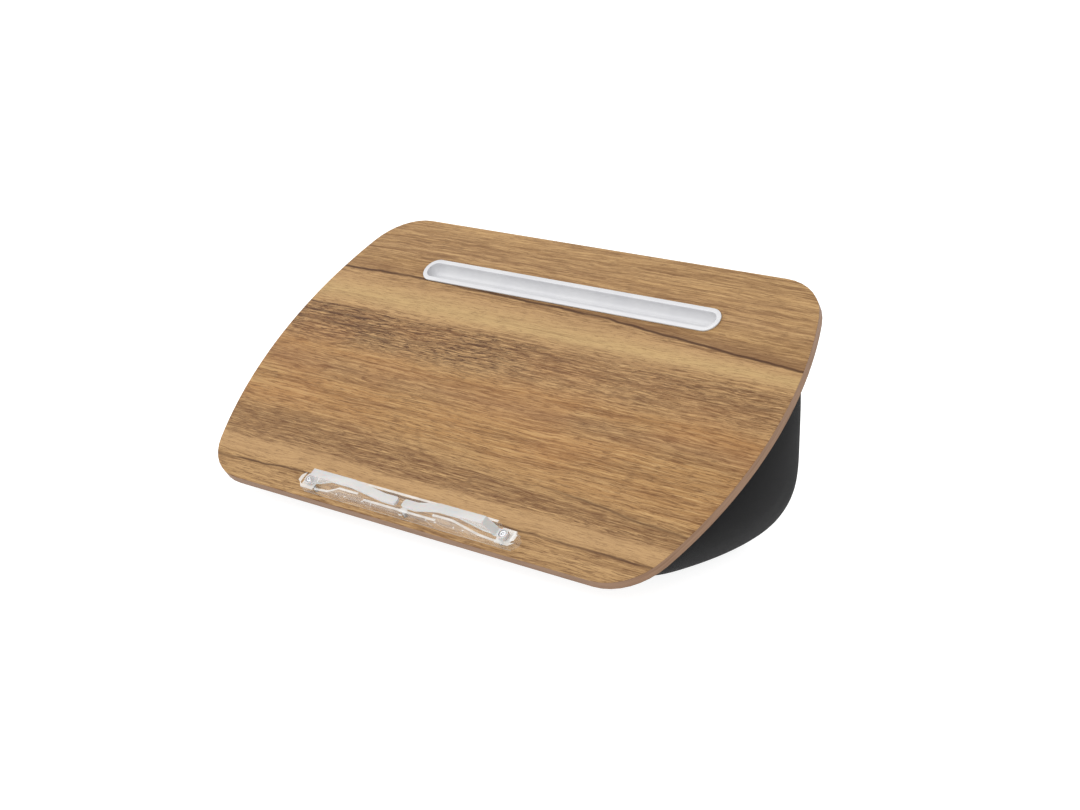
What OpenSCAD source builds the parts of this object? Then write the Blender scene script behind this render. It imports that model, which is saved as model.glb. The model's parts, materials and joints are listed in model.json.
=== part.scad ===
// Cushioned lap stand for a tablet: a wood-look board with barrel sides on a wedge cushion,
// a white device slot near the back edge, and a clear book stop with two swinging page arms.
// X runs across the stand, Y towards its high back edge and Z up. The origin is on the table.

/* [Board] */
// Straight front and back edge length, before the corners are rounded
board_chord = 400; // [360:1:420]
// Depth of the board along its slope
board_depth = 270; // [240:1:300]
// How far each side bows out past the chord
board_bulge = 33; // [15:1:40]
// Corner radius in plan
board_corner = 45.5; // [30:0.5:60]
// Whole thickness, laminates included
board_t = 7.2; // [6.6:0.1:9]
// Thickness of the top veneer and of the backing
laminate_t = 0.4; // [0.3:0.1:0.6]
// Thickness of the edge band
band_t = 0.8; // [0.5:0.1:1.2]
// Slope of the board, in degrees
tilt = 37.3; // [30:0.1:40]
// Height of the board's lowest edge above the table
front_gap = 11.6; // [8:0.1:20]

/* [Device slot] */
// Outer length of the slot's rim
slot_length = 283; // [240:1:300]
// Outer width of the slot's rim
slot_width = 21; // [20:0.5:24]
// Distance of the slot's centre line up the slope from the board's middle
slot_offset = 87; // [70:1:95]
// Radius of the half-round trough
trough_r = 7; // [6:0.1:7]
// Height of the rim above the board
rim_h = 1.1; // [0.8:0.1:1.5]
// Wall thickness of the trough
trough_wall = 1; // [0.8:0.1:1.2]

/* [Stop rail] */
// Half the length of the rail's straight middle
rail_half = 90; // [86:1:92]
// Distance of the rail's front edge down the slope from the board's middle
rail_front = 130.5; // [128:0.5:131]
// Width of the base plate up the slope
rail_width = 15.3; // [14:0.1:17]
// Thickness of the base plate
rail_base_t = 1.5; // [1:0.1:2]
// Height of the fence that a book or tablet rests against
fence_h = 9; // [7:0.5:9]
// Thickness of the fence and of the front wall
rail_wall = 1.8; // [1:0.1:2]
// Height of the end blocks, which carry the arms' pivots
block_h = 5.7; // [5:0.1:6]

/* [Page arms] */
// Distance of each pivot from the middle of the stand
pivot_x = 93.5; // [92:0.5:96]
// Distance of the pivots down the slope from the board's middle
pivot_down = 124.2; // [123:0.1:125]
// Reach of an arm from its pivot to its tip
arm_reach = 90.6; // [88:0.1:91.5]
// Width of an arm
arm_w = 6.4; // [5:0.1:7]
// Thickness of an arm
arm_t = 2.2; // [1.8:0.1:2.4]
// Height of the arm's raised middle above the board
arm_top = 20.5; // [18:0.5:24]
// Height of the arm's flat tip above the board
tip_top = 13; // [12.5:0.1:14]
// Outer radius of the pivot eye
eye_r = 4.2; // [4:0.1:4.5]

/* [Cushion] */
// Straight front and back length in plan, before the corners are rounded
cushion_chord = 402; // [340:1:404]
// Depth of the cushion in plan
cushion_depth = 181.6; // [170:0.1:184]
// How far each side bows out
cushion_bulge = 17.6; // [10:0.1:22]
// Corner radius in plan
cushion_corner = 42; // [30:1:50]
// Radius of the rounded bottom edge
cushion_edge = 58; // [40:1:60]
// Distance of the cushion's middle behind the board's
cushion_offset = 5.8; // [0:0.1:6]
// Thickness of the cover fabric with its bonded backing
cover_t = 1.6; // [1:0.1:2]

/* [Hook and loop] */
// Length of each strip
strip_length = 280; // [200:5:290]
// Width of each strip
strip_width = 30; // [20:1:40]
// Thickness of one strip, hook or loop
strip_t = 1.1; // [0.8:0.1:1.2]
// Distance of each strip from the board's middle, along the slope
strip_offset = 66; // [50:1:72]

/* [Zip] */
// Length of the zip tape
zip_length = 260; // [200:5:280]
// Height of the tape
zip_tape_h = 24; // [18:1:28]
// Height of the zip above the table
zip_z = 112; // [90:1:130]
// Half the length of the toothed chain
chain_half = 120; // [90:1:125]
// Pitch of the teeth
tooth_pitch = 3; // [2.5:0.5:4]

/* [Hidden] */

$fn = 48;
eps = 0.01;
slab_w = 600;
tall = 30;

// The board's middle, on its top face, so that the arms' front and the board's back are
// equally far from the origin
front_reach = (pivot_down + arm_w / 2) * cos(tilt) + arm_top * sin(tilt);
back_reach = board_depth / 2 * cos(tilt) + board_t * sin(tilt);
board_y = (front_reach - back_reach) / 2;
board_z = front_gap + board_depth / 2 * sin(tilt) + board_t * cos(tilt);

// Slot: distance of each round end's centre from the middle, and height of the trough's axis
slot_end = (slot_length - slot_width) / 2;
trough_axis = 0.9;
slot_cut_r = trough_r + trough_wall + 0.3;

// Stop rail: back face of the front wall, which stands gusset_t behind the rail's front edge
gusset_t = 1;
wall_back = rail_front - gusset_t - rail_wall;
fence_end = 6;

// Stop rail: screw places, pilot holes and countersinks
rail_screw_x = [-89.5, 0, 89.5];
rail_screw_down = 126.8;
boss_r = 3.7;
boss_h = 5;
pilot_r = 1.25;
thread_r = 1.2;
rail_screw_top = 4;
clear_r = 1.6;
head_r = 3.4;
head_slack = 0.1;
head_depth = 1.8;
socket_r = 1.2;
socket_depth = 1.1;

// Stop rail: height profile of the front wall, from its low ends to the finger guards
guard_inner = 35;
guard_outer = 55;
guard_h = 15.5;
wall_mid_h = 9;
wall_end_h = 4.5;
wall_ramp = [[83, 4.9], [73, 6.4], [62.5, 11.5]];

// Stop rail: V gussets, and end blocks with a raised outer lip
gusset_x = [-57, -31, 31, 57];
gusset_half = 5;
gusset_leg = 1.2;
gusset_h = 8.5;
gusset_notch = 1.8;
gusset_foot = 0.7;
block_length = 16.2;
block_depth = 12.5;
block_chamfer = 4;
lip_w = 3.4;
lip_h = 2;
lip_front = 2.6;
lip_back = 0.8;
pivot_floor = 0.8;

// Pivots: shoulder, washer and the screw's countersunk seat in the eye
shoulder_r = 1.7;
eye_hole_r = 1.75;
washer_r = 3.6;
washer_t = 0.5;
eye_base = block_h + washer_t;
eye_h = 3.2;
seat_h = 1.9;
seat_r = 3;
head_gap = 0.05;
screw_head_r = 2.6;
screw_head_h = 1.05;
screw_socket_base = 0.35;
screw_foot = 1;

// Page arms: where the profile turns, measured from the pivot
slope_start = 4.5;
plateau_start = 10.5;
plateau_end = 52;
tip_flat = 12.8;
tip_round = 2;
under_tip = 0.3;
under_end = 0.4;
under_start = 1.5;
under_slope = 2;

// Page arms: stiffening skirts along both sides, and soft pads under the tips
skirt_t = 1.2;
skirt_low = 10.2;
skirt_x = [6.2, 10, 14, 30, 34];
pad_t = 1;
pad_length = 9;
pad_start = 1.5;
pad_inset = 0.8;

// Cushion: the top panel lies below both strips, and the foam clears its cover
cushion_y = board_y + cushion_offset;
edge_steps = 8;
base_lip = 1;
cover_gap = 0.2;
panel_t = 1.2;
foam_gap = 0.3;

// Zip, measured out from the cushion's back face
cushion_back = cushion_y + cushion_depth / 2;
tape_t = 0.7;
chain_t = 1.5;
chain_h = 4.6;
slider_x = 110;
slider_l = 9;
slider_h = 8.4;
slider_gap = 0.3;
slider_plate = 1.2;
flange_lift = 0.25;
cheek_w = 2.8;
cheek_t = 1.1;
cheek_z = 1.7;
cheek_rise = 1.2;
stop_w = 2.4;
stop_gap = 1.2;
tooth_inset = 0.3;
pull_pin_r = 0.7;
pull_pin_l = 5;
pull_hole_r = 0.76;
pull_eye_r = 1.4;
pull_eye_w = 3;
pull_length = 24;
pull_w = 6;
pull_t = 1;
pull_neck = 5.2;
pull_end_hole = 1.4;
pin_y = cushion_back + tape_t + chain_t + 2 * slider_gap + slider_plate + pull_eye_r;

wood = "#a9804f";
edge_brown = "#84705f";
raw_board = "#b79a72";
white_plastic = "#eceded";
clear_plastic = [0.86, 0.89, 0.91, 0.55];
steel = "#8f9296";
charcoal = "#2d2e31";
foam_grey = "#6f7072";

// ---------- shared shapes ----------

// Points of an arc about a centre, from angle a to angle b
function arc(c, r, a, b, n) = [for (i = [0:n]) c + r * [cos(a + (b - a) * i / n), sin(a + (b - a) * i / n)]];

// Outline with straight front and back, bowed sides and round corners, moved inwards by inset.
// The side's own circle has its centre on the X axis at side_c.
function barrel(chord, depth, bulge, corner, inset) =
    let (side_r = (depth * depth / 4 + bulge * bulge) / (2 * bulge),
         side_c = chord / 2 - (side_r - bulge),
         r = max(corner - inset, 0.5),
         y = depth / 2 - inset - r,
         x = side_c + sqrt(pow(side_r - inset - r, 2) - y * y),
         a = atan2(y, x - side_c),
         right = concat(arc([x, -y], r, -90, -a, 8),
                        arc([side_c, 0], side_r - inset, -a, a, 24),
                        arc([x, y], r, a, 90, 8)))
    concat(right, [for (i = [len(right) - 1:-1:0]) [-right[i][0], right[i][1]]]);

function board_outline(inset) = barrel(board_chord, board_depth, board_bulge, board_corner, inset);

function cushion_outline(inset) =
    barrel(cushion_chord, cushion_depth, cushion_bulge, cushion_corner, inset);

// Puts its children in the board's frame: Y up the slope, Z out of the top face
module on_board() translate([0, board_y, board_z]) rotate([tilt, 0, 0]) children();

// A slab parallel to the board, between two heights in the board's frame
module slab(low, high) on_board() translate([-slab_w / 2, -slab_w / 2, low])
    cube([slab_w, slab_w, high - low]);

// A stadium plate across X, with its long axis at the slot
module stadium(r, low, high) {
    translate([0, slot_offset, low]) {
        translate([-slot_end, -r, 0]) cube([2 * slot_end, 2 * r, high - low]);
        for (side = [-1, 1]) translate([side * slot_end, 0, 0]) cylinder(r = r, h = high - low);
    }
}

// A half-round trough shape, as one long capsule about the trough's axis
module capsule(r) {
    translate([0, slot_offset, trough_axis]) {
        translate([-slot_end, 0, 0]) rotate([0, 90, 0]) cylinder(r = r, h = 2 * slot_end);
        for (side = [-1, 1]) translate([side * slot_end, 0, 0]) sphere(r = r);
    }
}

// One layer of the board, in the board's frame
module board_layer(inset, low, high) {
    difference() {
        translate([0, 0, low]) linear_extrude(high - low) polygon(board_outline(inset));
        stadium(slot_cut_r, low - 1, high + 1);
        for (x = rail_screw_x) translate([x, -rail_screw_down, -board_t]) {
            translate([0, 0, -1]) cylinder(r = clear_r, h = board_t + 2);
            cylinder(r1 = head_r, r2 = clear_r, h = head_depth);
        }
    }
}

// A closed solid through rings of equal point counts, from the lowest to the highest
module loft(rings) {
    n = len(rings[0]);
    m = len(rings);
    polyhedron(
        points = [for (ring = rings) for (p = ring) p],
        faces = concat(
            [[for (i = [0:n - 1]) i]],
            [[for (i = [n - 1:-1:0]) (m - 1) * n + i]],
            [for (j = [0:m - 2]) for (i = [0:n - 1])
                [j * n + i, (j + 1) * n + i, (j + 1) * n + (i + 1) % n, j * n + (i + 1) % n]]),
        convexity = 4);
}

// One ring of the cushion's surface: its outline, moved in by inset, at a height
function cushion_ring(inset, z) = [for (p = cushion_outline(inset)) [p[0], p[1] + cushion_y, z]];

// The wedge cushion inset by a skin, cut off at a height in the board's frame
module wedge(skin, top) {
    edge = cushion_edge - skin;
    intersection() {
        loft(concat(
            [for (i = [0:edge_steps]) let (a = 90 * i / edge_steps)
                cushion_ring(skin + edge * (1 - sin(a)), skin + edge * (1 - cos(a)))],
            [cushion_ring(skin, board_z * 2)]));
        slab(-slab_w / 2, top);
    }
}

// ---------- board ----------

module board_core() color(raw_board) on_board()
    board_layer(band_t, laminate_t - board_t, -laminate_t);

module wood_veneer() color(wood) on_board() board_layer(0, -laminate_t, 0);

module backing_laminate() color(edge_brown) on_board()
    board_layer(0, -board_t, laminate_t - board_t);

module edge_band() color(edge_brown) on_board()
    translate([0, 0, laminate_t - board_t]) linear_extrude(board_t - 2 * laminate_t) difference() {
        polygon(board_outline(0));
        polygon(board_outline(band_t));
    }

// ---------- device slot ----------

module slot_tray() color(white_plastic) on_board() difference() {
    union() {
        stadium(slot_width / 2, 0, rim_h);
        stadium(trough_r + trough_wall, 0, trough_axis);
        intersection() {
            capsule(trough_r + trough_wall);
            stadium(slot_cut_r, -board_t, trough_axis);
        }
    }
    capsule(trough_r);
    stadium(trough_r, trough_axis, rim_h + 1);
}

// ---------- stop rail ----------

// Right half of the front wall's profile, from its low end to the step in the middle
function wall_half() = concat([[rail_half, 0], [rail_half, wall_end_h]], wall_ramp,
    [[guard_outer, guard_h], [guard_inner + 1, guard_h], [guard_inner, wall_mid_h]]);

module front_wall() {
    half = wall_half();
    mirrored = [for (i = [len(half) - 1:-1:0]) [-half[i][0], half[i][1]]];
    translate([0, -wall_back, 0]) rotate([90, 0, 0]) linear_extrude(rail_wall)
        polygon(concat(half, mirrored));
}

// A thin V brace on the outer face of the front wall
module gusset() {
    inner = gusset_half - gusset_leg;
    translate([0, gusset_t - rail_front, 0]) rotate([90, 0, 0]) linear_extrude(gusset_t)
        polygon([[-gusset_half, gusset_h], [-inner, gusset_h], [0, gusset_notch],
            [inner, gusset_h], [gusset_half, gusset_h], [gusset_foot, 0], [-gusset_foot, 0]]);
}

// Chamfered block under one pivot, with a raised outer lip
module end_block(side) {
    near = rail_half - 2;
    far = near + block_length;
    back = rail_front - block_depth;
    c = block_chamfer;
    mirror([side < 0 ? 1 : 0, 0, 0]) {
        linear_extrude(block_h) polygon([[near, -rail_front], [far - c, -rail_front],
            [far, c - rail_front], [far, -back - c], [far - c, -back], [near, -back]]);
        linear_extrude(block_h + lip_h) polygon([[far - lip_w, lip_front - rail_front],
            [far, c - rail_front], [far, -back - c], [far - lip_w, -back - lip_back]]);
    }
}

module stop_rail() color(clear_plastic) on_board() difference() {
    union() {
        translate([-rail_half, -rail_front, 0]) cube([2 * rail_half, rail_width, rail_base_t]);
        translate([fence_end - rail_half, rail_width - rail_front - rail_wall, 0])
            cube([2 * (rail_half - fence_end), rail_wall, fence_h]);
        front_wall();
        for (x = gusset_x) translate([x, 0, 0]) gusset();
        for (side = [-1, 1]) end_block(side);
        translate([0, -rail_screw_down, 0]) cylinder(r = boss_r, h = boss_h);
    }
    for (x = rail_screw_x) translate([x, -rail_screw_down, -1])
        cylinder(r = pilot_r, h = rail_screw_top + 1.5);
    for (side = [-1, 1]) translate([side * pivot_x, -pivot_down, pivot_floor])
        cylinder(r = pilot_r, h = block_h);
}

module rail_screws() color(steel) on_board()
    for (x = rail_screw_x) translate([x, -rail_screw_down, -board_t]) {
        difference() {
            cylinder(r1 = head_r - head_slack, r2 = thread_r, h = head_depth);
            translate([0, 0, -eps]) cylinder(r = socket_r, h = socket_depth, $fn = 6);
        }
        translate([0, 0, head_depth - eps])
            cylinder(r = thread_r, h = board_t + rail_screw_top - head_depth);
    }

// ---------- page arms ----------

// Puts its children at the right pivot with X running towards the arm's tip
module at_pivot(side) on_board()
    translate([side * pivot_x, -pivot_down, 0]) mirror([side > 0 ? 1 : 0, 0, 0]) children();

// Side profile of an arm: eye, steep rise, raised middle, fall and flat tip
function arm_profile() = [[0, eye_base + seat_h], [0, eye_base + eye_h],
    [slope_start, eye_base + eye_h], [plateau_start, arm_top], [plateau_end, arm_top],
    [arm_reach - tip_flat, tip_top], [arm_reach, tip_top], [arm_reach, tip_top - arm_t],
    [arm_reach - tip_flat - under_tip, tip_top - arm_t],
    [plateau_end - under_end, arm_top - arm_t],
    [plateau_start + under_start, arm_top - arm_t],
    [slope_start + under_slope, eye_base + seat_h]];

// Side profile of a skirt, which closes the corner under the steep rise
function skirt_profile() = [[skirt_x[0], skirt_low], [skirt_x[1] + 1, arm_top - 1],
    [skirt_x[4], arm_top - 1], [skirt_x[3], arm_top - arm_t - 1], [skirt_x[2], skirt_low + 0.6]];

module page_arm(side) color(white_plastic) at_pivot(side) difference() {
    union() {
        intersection() {
            translate([0, arm_w / 2, 0]) rotate([90, 0, 0]) linear_extrude(arm_w)
                polygon(arm_profile());
            union() {
                translate([0, -arm_w / 2, 0]) cube([arm_reach - tip_round, arm_w, tall]);
                translate([0, tip_round - arm_w / 2, 0])
                    cube([arm_reach, arm_w - 2 * tip_round, tall]);
                for (s = [-1, 1]) translate([arm_reach - tip_round, s * (arm_w / 2 - tip_round), 0])
                    cylinder(r = tip_round, h = tall);
            }
        }
        for (y = [skirt_t - arm_w / 2, arm_w / 2]) translate([0, y, 0]) rotate([90, 0, 0])
            linear_extrude(skirt_t) polygon(skirt_profile());
        translate([0, 0, eye_base]) cylinder(r = eye_r, h = eye_h);
    }
    translate([0, 0, eye_base - 1]) cylinder(r = eye_hole_r, h = eye_h + 2);
    translate([0, 0, eye_base + seat_h]) cylinder(r = seat_r, h = eye_h);
}

module page_arm_left() page_arm(-1);

module page_arm_right() page_arm(1);

module tip_pad(side) color(clear_plastic) at_pivot(side)
    translate([arm_reach - tip_flat + pad_start, pad_inset - arm_w / 2, tip_top - arm_t - pad_t])
        cube([pad_length, arm_w - 2 * pad_inset, pad_t]);

module tip_pad_left() tip_pad(-1);

module tip_pad_right() tip_pad(1);

module pivot_screws() color(steel) for (side = [-1, 1]) at_pivot(side) {
    head_z = eye_base + seat_h + head_gap;
    translate([0, 0, screw_foot]) cylinder(r = thread_r, h = block_h - screw_foot + eps);
    translate([0, 0, block_h]) cylinder(r = shoulder_r, h = head_z - block_h);
    difference() {
        translate([0, 0, head_z]) cylinder(r = screw_head_r, h = screw_head_h);
        translate([0, 0, head_z + screw_socket_base])
            cylinder(r = socket_r, h = screw_head_h, $fn = 6);
    }
}

module pivot_washers() color(steel) for (side = [-1, 1]) at_pivot(side)
    translate([0, 0, block_h]) difference() {
        cylinder(r = washer_r, h = washer_t);
        translate([0, 0, -1]) cylinder(r = eye_hole_r, h = washer_t + 2);
    }

// ---------- cushion ----------

module strips(low, high) on_board() for (side = [-1, 1])
    translate([-strip_length / 2, side * strip_offset - strip_width / 2, low])
        cube([strip_length, strip_width, high - low]);

module hook_strips() color("black") strips(-board_t - strip_t, -board_t);

module loop_strips() color(charcoal) strips(-board_t - 2 * strip_t, -board_t - strip_t);

module cushion_cover() color(charcoal) difference() {
    wedge(0, -board_t - cover_gap);
    wedge(cover_t, 0);
    base_panel_form(-1, cover_t + 1);
}

// The flat part of the underside, a little inside the rounded edge
module base_panel_form(low, high) translate([0, cushion_y, low])
    linear_extrude(high - low) polygon(cushion_outline(cushion_edge + base_lip));

module cushion_base_panel() color("#232426") base_panel_form(0, cover_t);

module cushion_top_panel() color(charcoal) intersection() {
    wedge(cover_t + foam_gap, 0);
    slab(-board_t - 2 * strip_t - panel_t, -board_t - 2 * strip_t);
}

module foam_core() color(foam_grey)
    wedge(cover_t + foam_gap, -board_t - 2 * strip_t - panel_t - foam_gap);

// ---------- zip ----------

module zip_tape() color("#222326")
    translate([-zip_length / 2, cushion_back, zip_z - zip_tape_h / 2])
        cube([zip_length, tape_t, zip_tape_h]);

module zip_chain() color("#17181a") translate([0, cushion_back + tape_t, zip_z]) {
    translate([-chain_half, 0, -chain_h / 2]) cube([2 * chain_half, chain_t / 2, chain_h]);
    for (x = [tooth_pitch - chain_half:tooth_pitch:chain_half - tooth_pitch])
        translate([x - tooth_pitch / 4, chain_t / 2 - eps, tooth_inset - chain_h / 2])
            cube([tooth_pitch / 2, chain_t / 2, chain_h - 2 * tooth_inset]);
}

module zip_end_stops() color(steel) for (side = [-1, 1])
    translate([side * (chain_half + stop_gap) - stop_w / 2, cushion_back + tape_t,
        zip_z - chain_h / 2]) cube([stop_w, chain_t, chain_h]);

module zip_slider() color(steel) translate([slider_x, 0, zip_z]) {
    plate_y = cushion_back + tape_t + chain_t + slider_gap;
    flange_z = chain_h / 2 + slider_gap;
    translate([-slider_l / 2, plate_y, -slider_h / 2]) cube([slider_l, slider_plate, slider_h]);
    for (s = [0, 1]) mirror([0, 0, s])
        translate([-slider_l / 2, cushion_back + tape_t + flange_lift, flange_z])
            cube([slider_l, chain_t + slider_gap, slider_h / 2 - flange_z]);
    for (s = [0, 1]) mirror([0, 0, s])
        translate([-cheek_w / 2, plate_y + slider_plate - eps, cheek_z])
            cube([cheek_w, pin_y + cheek_rise - plate_y - slider_plate, cheek_t]);
    translate([0, pin_y, -pull_pin_l / 2]) cylinder(r = pull_pin_r, h = pull_pin_l);
}

module zip_pull() color(steel) translate([slider_x, pin_y, zip_z]) difference() {
    tip_x = pull_length - pull_w / 2;
    union() {
        translate([0, 0, -pull_eye_w / 2]) cylinder(r = pull_eye_r, h = pull_eye_w);
        translate([-pull_neck, -pull_t / 2, -pull_eye_w / 2])
            cube([pull_neck, pull_t, pull_eye_w]);
        translate([-tip_x, -pull_t / 2, -pull_w / 2])
            cube([tip_x - pull_neck + eps, pull_t, pull_w]);
        translate([-tip_x, pull_t / 2, 0]) rotate([90, 0, 0])
            cylinder(r = pull_w / 2, h = pull_t);
    }
    cylinder(r = pull_hole_r, h = pull_eye_w + 1, center = true);
    translate([-tip_x, 0, 0]) rotate([90, 0, 0])
        cylinder(r = pull_end_hole, h = pull_t + 1, center = true);
}

board_core();
wood_veneer();
backing_laminate();
edge_band();
slot_tray();
stop_rail();
page_arm_left();
page_arm_right();
tip_pad_left();
tip_pad_right();
pivot_screws();
pivot_washers();
rail_screws();
hook_strips();
loop_strips();
cushion_cover();
cushion_base_panel();
cushion_top_panel();
foam_core();
zip_tape();
zip_chain();
zip_end_stops();
zip_slider();
zip_pull();
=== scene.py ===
"""Looks of the cushioned tablet lap stand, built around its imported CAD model."""

import json
import math

import bmesh
import bpy
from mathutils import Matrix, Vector, noise


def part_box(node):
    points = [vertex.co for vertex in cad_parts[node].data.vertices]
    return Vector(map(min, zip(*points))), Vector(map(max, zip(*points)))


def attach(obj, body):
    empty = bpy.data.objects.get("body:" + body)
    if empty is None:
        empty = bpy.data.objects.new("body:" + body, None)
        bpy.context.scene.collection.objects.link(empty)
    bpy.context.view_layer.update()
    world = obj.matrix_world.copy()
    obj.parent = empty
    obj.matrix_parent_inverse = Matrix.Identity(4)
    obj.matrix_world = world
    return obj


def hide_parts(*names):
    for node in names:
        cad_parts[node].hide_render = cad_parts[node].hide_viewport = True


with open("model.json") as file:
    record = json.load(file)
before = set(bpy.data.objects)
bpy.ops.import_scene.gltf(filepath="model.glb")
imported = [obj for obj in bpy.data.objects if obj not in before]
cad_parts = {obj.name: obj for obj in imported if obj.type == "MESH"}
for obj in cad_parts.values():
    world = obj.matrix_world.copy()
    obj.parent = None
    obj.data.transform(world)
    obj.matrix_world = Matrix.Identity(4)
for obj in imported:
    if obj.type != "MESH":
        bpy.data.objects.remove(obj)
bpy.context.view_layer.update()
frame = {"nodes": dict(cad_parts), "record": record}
NODES = frame["nodes"]
MM = 0.001

# The board's own frame, from the record's work_surface mount: U is X, V up the slope, W out of it
work_surface = next(m for m in frame["record"]["mounts"] if m["name"] == "work_surface")
BOARD_MIDDLE = Vector(work_surface["pos_m"])
BOARD_NORMAL = Vector(work_surface["axis"]).normalized()
BOARD_SLOPE = Vector((0, BOARD_NORMAL.z, -BOARD_NORMAL.y))
TILT = math.atan2(-BOARD_NORMAL.y, BOARD_NORMAL.z)


def height_over_board(point):
    """Height of a point over the board's top face, in metres."""
    return (point - BOARD_MIDDLE).dot(BOARD_NORMAL)


# The studio's light is stronger than 1, which keeps the floor white, so colours are darker
OWN_SHARE = 0.66


def srgb(red, green, blue, share=OWN_SHARE):
    """The surface colour that looks like this 8-bit display colour in the studio's light."""
    return tuple(share * (((c / 255 + 0.055) / 1.055) ** 2.4 if c > 10 else c / 255 / 12.92)
                 for c in (red, green, blue)) + (1.0,)


# ---------- materials ----------


class Shader:
    """A node material. Its methods add nodes and give back their output sockets."""

    def __init__(self, name, **settings):
        self.material = bpy.data.materials.new(name)
        self.material.use_nodes = True
        self.tree = self.material.node_tree
        self.tree.nodes.clear()
        self.surface = self.add("ShaderNodeBsdfPrincipled")
        self.end = self.add("ShaderNodeOutputMaterial")
        self.tree.links.new(self.surface.outputs[0], self.end.inputs["Surface"])
        self.object = self.add("ShaderNodeTexCoord").outputs["Object"]
        for socket, value in settings.items():
            self.set(socket.replace("_", " "), value)

    def add(self, kind, **settings):
        made = self.tree.nodes.new(kind)
        for key, value in settings.items():
            setattr(made, key, value)
        return made

    def feed(self, socket, value):
        if isinstance(value, bpy.types.NodeSocket):
            self.tree.links.new(value, socket)
        else:
            socket.default_value = value

    def set(self, socket, value):
        self.feed(self.surface.inputs[socket], value)

    def math(self, operation, a, b=0.0):
        made = self.add("ShaderNodeMath", operation=operation)
        for socket, value in zip(made.inputs, (a, b)):
            self.feed(socket, value)
        return made.outputs[0]

    def total(self, *terms):
        sum_so_far = terms[0]
        for term in terms[1:]:
            sum_so_far = self.math("ADD", sum_so_far, term)
        return sum_so_far

    def times(self, *terms):
        product = terms[0]
        for term in terms[1:]:
            product = self.math("MULTIPLY", product, term)
        return product

    def place(self, vector, scale=(1, 1, 1), shift=(0, 0, 0)):
        made = self.add("ShaderNodeMapping")
        self.feed(made.inputs["Vector"], vector)
        made.inputs["Scale"].default_value = scale
        made.inputs["Location"].default_value = shift
        return made.outputs[0]

    def board(self):
        """Position in the board's frame, in millimetres."""
        made = self.add("ShaderNodeMapping", vector_type="TEXTURE")
        self.feed(made.inputs["Vector"], self.object)
        made.inputs["Location"].default_value = BOARD_MIDDLE
        made.inputs["Rotation"].default_value = (TILT, 0, 0)
        made.inputs["Scale"].default_value = (MM, MM, MM)
        return made.outputs[0]

    def millimetres(self):
        return self.place(self.object, scale=(1 / MM,) * 3)

    def split(self, vector):
        made = self.add("ShaderNodeSeparateXYZ")
        self.feed(made.inputs[0], vector)
        return made.outputs

    def join(self, x=0.0, y=0.0, z=0.0):
        made = self.add("ShaderNodeCombineXYZ")
        for socket, value in zip(made.inputs, (x, y, z)):
            self.feed(socket, value)
        return made.outputs[0]

    def noise(self, vector, detail=2.0, roughness=0.5, distortion=0.0, scale=1.0):
        made = self.add("ShaderNodeTexNoise")
        self.feed(made.inputs["Vector"], vector)
        for key, value in (("Scale", scale), ("Detail", detail), ("Roughness", roughness),
                           ("Distortion", distortion)):
            made.inputs[key].default_value = value
        return made.outputs["Fac"]

    def cells(self, vector, scale):
        made = self.add("ShaderNodeTexVoronoi")
        self.feed(made.inputs["Vector"], vector)
        made.inputs["Scale"].default_value = scale
        return made.outputs["Distance"]

    def rise(self, value, low, high, to_low=0.0, to_high=1.0):
        """Goes smoothly from to_low at low to to_high at high."""
        made = self.add("ShaderNodeMapRange", interpolation_type="SMOOTHSTEP")
        for socket, number in zip(made.inputs, (value, low, high, to_low, to_high)):
            self.feed(socket, number)
        return made.outputs[0]

    def span(self, value, low, high, soft):
        """1 between low and high, with soft ends."""
        return self.times(self.rise(value, low - soft, low + soft),
                          self.rise(value, high - soft, high + soft, 1.0, 0.0))

    def ramp(self, value, low, high, stops):
        """A colour ramp over low to high. stops are (value, colour), in rising order."""
        made = self.add("ShaderNodeValToRGB")
        made.color_ramp.interpolation = "LINEAR"
        elements = made.color_ramp.elements
        while len(elements) > 1:
            elements.remove(elements[-1])
        for number, (at, colour) in enumerate(stops):
            place = (at - low) / (high - low)
            element = elements[0] if number == 0 else elements.new(place)
            element.position = place
            element.color = colour
        self.feed(made.inputs["Fac"], self.rise_linear(value, low, high))
        return made.outputs["Color"]

    def rise_linear(self, value, low, high, to_low=0.0, to_high=1.0):
        made = self.add("ShaderNodeMapRange")
        for socket, number in zip(made.inputs, (value, low, high, to_low, to_high)):
            self.feed(socket, number)
        return made.outputs[0]

    def path(self, value, points):
        """A smooth height along value, through points of (value, height)."""
        low, high = points[0][0], points[-1][0]
        bottom = min(p[1] for p in points)
        top = max(p[1] for p in points)
        made = self.add("ShaderNodeFloatCurve")
        curve = made.mapping.curves[0]
        while len(curve.points) < len(points):
            curve.points.new(0.5, 0.5)
        for place, (at, height) in zip(curve.points, points):
            place.location = ((at - low) / (high - low), (height - bottom) / (top - bottom))
        made.mapping.update()
        self.feed(made.inputs["Value"], self.rise_linear(value, low, high))
        return self.rise_linear(made.outputs[0], 0, 1, bottom, top)

    def mix(self, factor, a, b, blend="MIX"):
        made = self.add("ShaderNodeMix", data_type="RGBA", blend_type=blend)
        for socket, value in zip((made.inputs["Factor"], made.inputs[6], made.inputs[7]),
                                 (factor, a, b)):
            self.feed(socket, value)
        return made.outputs[2]

    def bump(self, height, distance, strength=1.0):
        """Surface relief. distance is the relief's full height in metres."""
        made = self.add("ShaderNodeBump")
        made.inputs["Strength"].default_value = strength
        made.inputs["Distance"].default_value = distance
        self.feed(made.inputs["Height"], height)
        self.set("Normal", made.outputs[0])


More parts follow.
